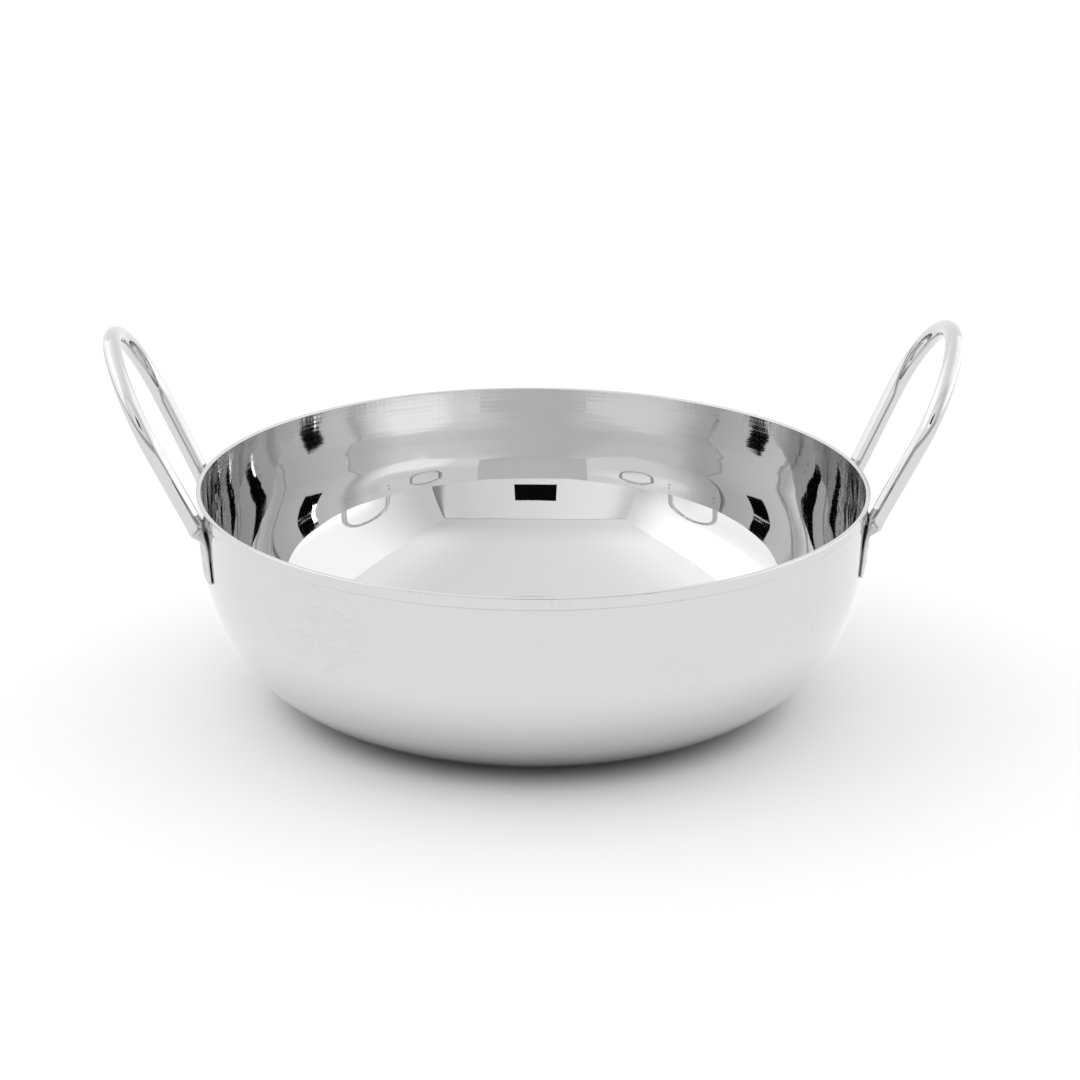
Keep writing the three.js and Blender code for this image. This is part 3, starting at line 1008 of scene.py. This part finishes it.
class DISH_OT_handles(bpy.types.Operator):
    """Loft both wire handles, with their pressed tabs on the wall."""

    bl_idname = "dish.handles"
    bl_label = "Handles"

    def execute(self, context):
        scene = context.scene
        form = HandleForm(scene.dish_handles, BowlForm(scene.dish_bowl))
        material = wire_material(scene.dish_finishes)
        for side, turn in (("right", 0), ("left", math.pi)):
            mesh = lofted_mesh(f"handle_wire_{side}", form.rings())
            mesh.transform(Matrix.Rotation(turn, 4, "Z"))
            face_outwards(mesh)
            smooth(mesh, degrees=40)
            mesh.materials.append(material)
            handle = bpy.data.objects.new(mesh.name, mesh)
            scene.collection.objects.link(handle)
            finish_piece(handle, "handle_wire", f"handle_{side}")
        return {"FINISHED"}


class DISH_OT_welds(bpy.types.Operator):
    """Set the electrode prints of the spot welds on the tabs and inside the bowl."""

    bl_idname = "dish.welds"
    bl_label = "Spot welds"

    def execute(self, context):
        scene, welds = context.scene, context.scene.dish_welds
        form = HandleForm(scene.dish_handles, BowlForm(scene.dish_bowl))
        places, facings, sizes = zip(*self.print_spots(form, welds, scene.dish_bowl.sheet))
        points = bpy.data.meshes.new("weld_points")
        points.from_pydata(places, [], [])
        facing_values = points.attributes.new("facing", "FLOAT_VECTOR", "POINT")
        facing_values.data.foreach_set("vector", [value for facing in facings for value in facing])
        points.attributes.new("size", "FLOAT", "POINT").data.foreach_set("value", sizes)
        carrier = bpy.data.objects.new("weld_points", points)
        scene.collection.objects.link(carrier)

        print_piece = self.weld_print(welds)
        values = {"Piece": print_piece, "Material": weld_material(scene.dish_finishes)}
        prints = run_nodes(carrier, scatter_tree(), values, "weld_prints")
        bpy.data.objects.remove(print_piece)
        face_outwards(prints.data)
        smooth(prints.data, degrees=50)
        finish_piece(prints, "weld_metal", *WELDS)
        return {"FINISHED"}

    def print_spots(self, form, welds, sheet):
        """Where each print lies, which way it faces, and its size beside that of a print on a tab."""
        out = form.seat_outwards
        inner_size = welds.inner_diameter / welds.print_diameter
        spots = []
        for turn in (0, math.pi):
            for end in (-1, 1):
                to_foot = Matrix.Rotation(turn, 3, "Z") @ Matrix.Diagonal((1, end, 1))
                for seat, thickness in form.weld_places(welds):
                    on_tab = seat + out * thickness
                    inside = seat - out * (sheet + form.sizes.seat_gap)
                    spots.append((to_foot @ on_tab, to_foot @ out, 1.0))
                    spots.append((to_foot @ inside, to_foot @ -out, inner_size))
        return spots

    def weld_print(self, welds):
        """One round print: a low ring of squeezed metal round a hollow, on a foot sunk in the steel."""
        radius, ring = welds.print_diameter / 2, welds.ring_height
        foot, crest_radius, hollow = -0.15 * MM, 0.82 * radius, 0.25 * ring
        hollow_from, steps = 0.6, 8
        points = [(0, foot), (radius, foot), (radius, 0)]
        for step in range(1, steps + 1):
            share = math.sin(math.pi / 2 * step / steps)
            points.append((radius - (radius - crest_radius) * share, ring * share))
        for step in range(1, steps + 1):
            share = step / steps
            height = ring + (hollow - ring) * eased(share, 0, hollow_from)
            points.append((crest_radius * (1 - share), height))
        outline = section_object("print_section", points, radius)
        values = {"Segments": 40, "Rail radius": radius}
        piece = run_nodes(outline, revolve_tree(), values, "weld_print")
        face_outwards(piece.data)
        return piece


def glow_material(name, build, base=0.0, gain=1.0):
    """A stage material that only gives light. The build function returns its strength above a dark base."""
    material, tree, shader = new_material(name)
    tree.nodes.remove(shader)
    place = split(tree, object_place(tree))
    strength = build(tree, place)
    if base:
        strength = product(tree, strength, ramp(tree, place["Z"], 0.4 * base, base, 0.4, 1.0))
    glow = add(tree, "ShaderNodeEmission", {"Strength": product(tree, strength, gain)}).outputs[0]
    feed(tree, tree.nodes["Material Output"], {"Surface": glow})
    return material


def table_material(stage):
    """A white table. Round the dish it takes light and shade, and under and just round the dish's foot its
    colour is darkened into a painted contact shadow. Further out it is plain white.
    """
    material, tree, shader = new_material("White table")
    # Painted contact shadow: the table's colour is 0.4 grey under the dish and fades to the table's white by
    # 62 mm out.
    under_dish, clear_of_dish, painted_contact_shadow = 46 * MM, 62 * MM, (0.4, 0.4, 0.4)
    place = object_place(tree)
    away = add(tree, "ShaderNodeVectorMath", {0: place}, operation="LENGTH").outputs["Value"]
    tone = blend(tree, ramp(tree, away, under_dish, clear_of_dish), painted_contact_shadow, stage.table)
    feed(tree, shader, {"Base Color": tone, "Roughness": 0.9, "Specular IOR Level": 0.1})

    rays = add(tree, "ShaderNodeLightPath").outputs
    shade = product(tree, ramp(tree, away, stage.shade_start, stage.shade_end), rays["Is Camera Ray"])
    shine = product(tree, ramp(tree, away, stage.shine_start, stage.shine_end), rays["Is Glossy Ray"])
    # Painted shade seen only in reflections: in front, beyond this distance, the table that the steel shows
    # is darkened to half its white, while the camera still sees it white.
    painted_shade_end, painted_shade_start = -1.4 * stage.table_edge, -stage.table_edge
    edge = ramp(tree, split(tree, place)["Y"], painted_shade_end, painted_shade_start, 0.5, 1.0)
    edge = maths(tree, "MAXIMUM", edge, rays["Is Camera Ray"])
    white = {"Strength": product(tree, edge, stage.whiteness)}
    layers = {
        0: maths(tree, "MAXIMUM", shade, shine),
        1: shader.outputs[0],
        2: add(tree, "ShaderNodeEmission", white).outputs[0],
    }
    mixed = add(tree, "ShaderNodeMixShader", layers).outputs[0]
    feed(tree, tree.nodes["Material Output"], {"Surface": mixed})
    return material


class TentLight:
    """How strongly the tent's panels glow. Each panel's function works it out from the place in the tent.

    A ramp here has the places where it starts and ends, as shares of the tent's size, and then the
    strengths there.
    """

    def __init__(self, stage):
        self.seam = stage.seam
        self.left_wide, self.right_wide = stage.left_width, stage.right_width
        self.deep, self.high = stage.depth, stage.height

    def seamed(self, tree, place, light, *seams):
        """Dark seams where a panel meets the next one."""
        near = 1.0
        for axis, value in seams:
            off = maths(tree, "ABSOLUTE", maths(tree, "SUBTRACT", place[axis], value))
            near = maths(tree, "MINIMUM", near, off)
        return product(tree, light, ramp(tree, near, 0.3 * self.seam, self.seam, 0.45, 1.0))

    def low_down(self, tree, place, top, strength):
        """The extra light low down on a side panel, beside and behind the dish."""
        low = ramp(tree, place["Z"], 0.2 * self.high, top * self.high, strength, 0.0)
        return product(tree, low, ramp(tree, place["Y"], -0.45 * self.deep, -0.3 * self.deep))

    def left(self, tree, place):
        """Brighter towards the back and the top, with a bright field high up in the middle."""
        back = ramp(tree, place["Y"], -self.deep, -0.55 * self.deep, 0.85, 1.3)
        light = product(tree, back, ramp(tree, place["Z"], 0.1 * self.high, 0.6 * self.high, 0.75, 1.0))
        field = ramp(tree, place["Z"], 0.45 * self.high, 0.6 * self.high, 0.0, 0.38)
        for start, end in ((-0.65, -0.3), (0.55, 0.2)):
            field = product(tree, field, ramp(tree, place["Y"], start * self.deep, end * self.deep))
        light = maths(tree, "ADD", light, field)
        return maths(tree, "ADD", light, self.low_down(tree, place, 0.4, 0.2))

    def right(self, tree, place):
        """Brighter towards the back."""
        light = ramp(tree, place["Y"], -0.84 * self.deep, 0.0, 0.72, 1.25)
        light = maths(tree, "ADD", light, self.low_down(tree, place, 0.36, 0.3))
        return self.seamed(tree, place, light, ("Y", -self.deep))

    def back(self, tree, place):
        """Nearly even, and a little less bright at the top."""
        light = ramp(tree, place["Z"], 0.0, self.high, 0.95, 0.90)
        return self.seamed(tree, place, light, ("Z", self.high))

    def roof(self, tree, place):
        """Brighter to the left, and behind the front edge also towards both sides."""
        across = maths(tree, "MULTIPLY_ADD", place["X"], -0.22, 0.80)
        into = ramp(tree, place["Y"], -0.85 * self.deep, -0.35 * self.deep)
        left_side = ramp(tree, place["X"], -0.85 * self.left_wide, -0.2 * self.left_wide, 0.28, 0.12)
        right_side = ramp(tree, place["X"], 0.25 * self.left_wide, 0.85 * self.left_wide, 0.0, 0.24)
        further = product(tree, into, maths(tree, "ADD", left_side, right_side))
        light = maths(tree, "ADD", across, further)
        return self.seamed(tree, place, light, ("Y", -self.deep))

    def front(self, tree, place):
        """Darker to the right, with a dark wedge down its right edge and a dimmer left end."""
        start, end = -0.54 * self.left_wide, 0.68 * self.left_wide
        across = ramp(tree, place["X"], start, end, 1.02, 0.77, kind="LINEAR")
        from_roof = maths(tree, "SUBTRACT", self.high, place["Z"])
        wedge = maths(tree, "MULTIPLY_ADD", from_roof, 0.2, 0.3 * self.seam)
        from_edge = maths(tree, "SUBTRACT", self.right_wide, place["X"])
        right_edge = ramp(tree, maths(tree, "DIVIDE", from_edge, wedge), 0.3, 1.0, 0.4, 1.0)
        left_end = ramp(tree, place["X"], -0.95 * self.left_wide, -0.68 * self.left_wide, 0.74, 1.0)
        light = product(tree, across, right_edge, left_end)
        return self.seamed(tree, place, light, ("Z", self.high), ("X", self.right_wide))


def rectangle(left, right, low, high):
    """The corners of a rectangle, in order."""
    return [(left, low), (right, low), (right, high), (left, high)]


def flat_object(name, corners, material, spin=0.0, seen=False):
    """One rectangle of the stage. Unless it is seen, it lights the dish but doesn't show to the camera."""
    mesh = bpy.data.meshes.new(name)
    mesh.from_pydata(corners, [], [(0, 1, 2, 3)])
    mesh.materials.append(material)
    flat = bpy.data.objects.new(name, mesh)
    flat.rotation_euler.z = spin
    flat.visible_camera = seen
    bpy.context.scene.collection.objects.link(flat)


class DISH_OT_stage(bpy.types.Operator):
    """Make the white table, the light tent with its camera port, and the camera."""

    bl_idname = "dish.stage"
    bl_label = "Stage"

    # The camera: how far it stands from the middle of the lip and at which angles, how far beside that
    # middle it aims, its sensor's width, and its focal length as a share of that width
    distance = 800 * MM
    elevation = math.radians(19.07)
    azimuth = math.radians(-2.74)
    roll = math.radians(0.33)
    aim_left, aim_down = 1.53 * MM, 12.58 * MM
    sensor = 36.0
    focal_share = 3588.6 / 1080

    # How far the table reaches each way, the dark room's glow, and its wall's distance behind the lamp
    table_reach = 8.0
    dark_glow = 0.004
    behind_lamp = 100 * MM

    def execute(self, context):
        scene, stage = context.scene, context.scene.dish_stage
        self.make_camera(scene)
        self.make_table(stage)
        self.make_tent(stage)
        self.make_room(stage)
        self.make_world(scene)
        scene.view_settings.view_transform = "Standard"
        return {"FINISHED"}

    def make_camera(self, scene):
        """The camera at the photograph's viewing angle."""
        right = Vector((1, 0, 0))
        up = Vector((0, math.sin(self.elevation), math.cos(self.elevation)))
        ahead = Vector((0, math.cos(self.elevation), -math.sin(self.elevation)))
        lip_middle = UP * scene.dish_bowl.height
        place = lip_middle + right * self.aim_left - up * self.aim_down - ahead * self.distance
        rolled_right = right * math.cos(self.roll) + up * math.sin(self.roll)
        rolled_up = up * math.cos(self.roll) - right * math.sin(self.roll)
        axes = Matrix((rolled_right, rolled_up, -ahead)).transposed().to_4x4()
        data = bpy.data.cameras.new("camera")
        data.sensor_width = self.sensor
        data.lens = self.sensor * self.focal_share
        data.clip_start, data.clip_end = 10 * MM, 20.0
        camera = bpy.data.objects.new("camera", data)
        camera.matrix_world = Matrix.Rotation(self.azimuth, 4, "Z") @ Matrix.Translation(place) @ axes
        scene.collection.objects.link(camera)
        scene.camera = camera

    def make_table(self, stage):
        """The table, which reaches far beyond the tent."""
        reach = self.table_reach
        corners = [(x, y, 0) for x, y in rectangle(-reach, reach, -reach, reach)]
        flat_object("table", corners, table_material(stage), seen=True)

    def make_tent(self, stage):
        """Lit panels round the dish, with a dark opening for the camera in the front one."""
        light = TentLight(stage)
        wide, right_wide, deep, high = stage.left_width, stage.right_width, stage.depth, stage.height
        side = rectangle(-deep, deep, 0, high)
        back = rectangle(-wide, right_wide, 0, high)
        roof = rectangle(-wide, right_wide, -deep, deep)
        panels = {
            "left": ([(-wide, y, z) for y, z in side], light.left, stage.base),
            "right": ([(right_wide, y, z) for y, z in side], light.right, 0.0),
            "back": ([(x, deep, z) for x, z in back], light.back, 0.0),
            "roof": ([(x, y, high) for x, y in roof], light.roof, 0.0),
        }
        port_left = -stage.port_width / 2 - stage.port_offset
        port_right = port_left + stage.port_width
        port_low = stage.port_middle - stage.port_height / 2
        port_high = port_low + stage.port_height
        around_port = {
            "left": rectangle(-wide, port_left, 0, high),
            "right": rectangle(port_right, right_wide, 0, high),
            "below": rectangle(port_left, port_right, 0, port_low),
            "above": rectangle(port_left, port_right, port_high, high),
        }
        for part, corners in around_port.items():
            panels[f"front_{part}"] = ([(x, -deep, z) for x, z in corners], light.front, stage.base)
        for name, (corners, glow, base) in panels.items():
            material = glow_material(f"tent_{name}", glow, base, stage.brightness)
            flat_object(f"tent_{name}", corners, material, self.azimuth)

    def make_room(self, stage):
        """What the steel sees through the opening: a dark room with a lamp on its left."""
        room = stage.room_depth
        wall = rectangle(-2 * room, 2 * room, -room, 2 * room)
        dark = glow_material("Dark room", lambda tree, place: self.dark_glow)
        wall_depth = room + self.behind_lamp
        flat_object("dark_room", [(x, -wall_depth, z) for x, z in wall], dark, self.azimuth)
        square = rectangle(-0.240 * room, -0.160 * room, 0.245 * room, 0.322 * room)
        lamp = glow_material("Room lamp", lambda tree, place: stage.lamp)
        flat_object("room_lamp", [(x, -room, z) for x, z in square], lamp, self.azimuth)

    def make_world(self, scene):
        """A plain white world, which the tent hides from the dish."""
        world = bpy.data.worlds.new("White")
        world.use_nodes = True
        white = {"Color": (1, 1, 1, 1), "Strength": 1.0}
        feed(world.node_tree, world.node_tree.nodes["Background"], white)
        scene.world = world


class DISH_PT_panel(bpy.types.Panel):
    """The dish's pieces and stage, with the sizes that they are made from."""

    bl_label = "Balti dish"
    bl_idname = "DISH_PT_panel"
    bl_space_type = "VIEW_3D"
    bl_region_type = "UI"
    bl_category = "Balti dish"

    def draw(self, context):
        rows = (
            ("dish_bowl", DISH_OT_bowl),
            ("dish_handles", DISH_OT_handles),
            ("dish_welds", DISH_OT_welds),
            ("dish_finishes", None),
            ("dish_stage", DISH_OT_stage),
        )
        for group, operator in rows:
            box = self.layout.box()
            settings = getattr(context.scene, group)
            for name in settings.bl_rna.properties.keys():
                if name not in ("rna_type", "name"):
                    box.prop(settings, name)
            if operator:
                box.operator(operator.bl_idname)


SETTINGS = {
    "dish_bowl": DishBowlSizes,
    "dish_handles": DishHandleSizes,
    "dish_welds": DishWeldSizes,
    "dish_finishes": DishFinishes,
    "dish_stage": DishStageSizes,
}
CLASSES = (
    *SETTINGS.values(),
    DISH_OT_bowl,
    DISH_OT_handles,
    DISH_OT_welds,
    DISH_OT_stage,
    DISH_PT_panel,
)


def register():
    """Adds the dish's classes and its settings on the scene."""
    for each in CLASSES:
        bpy.utils.register_class(each)
    for name, group in SETTINGS.items():
        setattr(bpy.types.Scene, name, PointerProperty(type=group))


def unregister():
    """Takes them away again."""
    for name in SETTINGS:
        delattr(bpy.types.Scene, name)
    for each in reversed(CLASSES):
        bpy.utils.unregister_class(each)


def main():
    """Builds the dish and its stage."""
    register()
    bpy.ops.dish.bowl()
    bpy.ops.dish.handles()
    bpy.ops.dish.welds()
    bpy.ops.dish.stage()


if __name__ == "__main__":
    main()
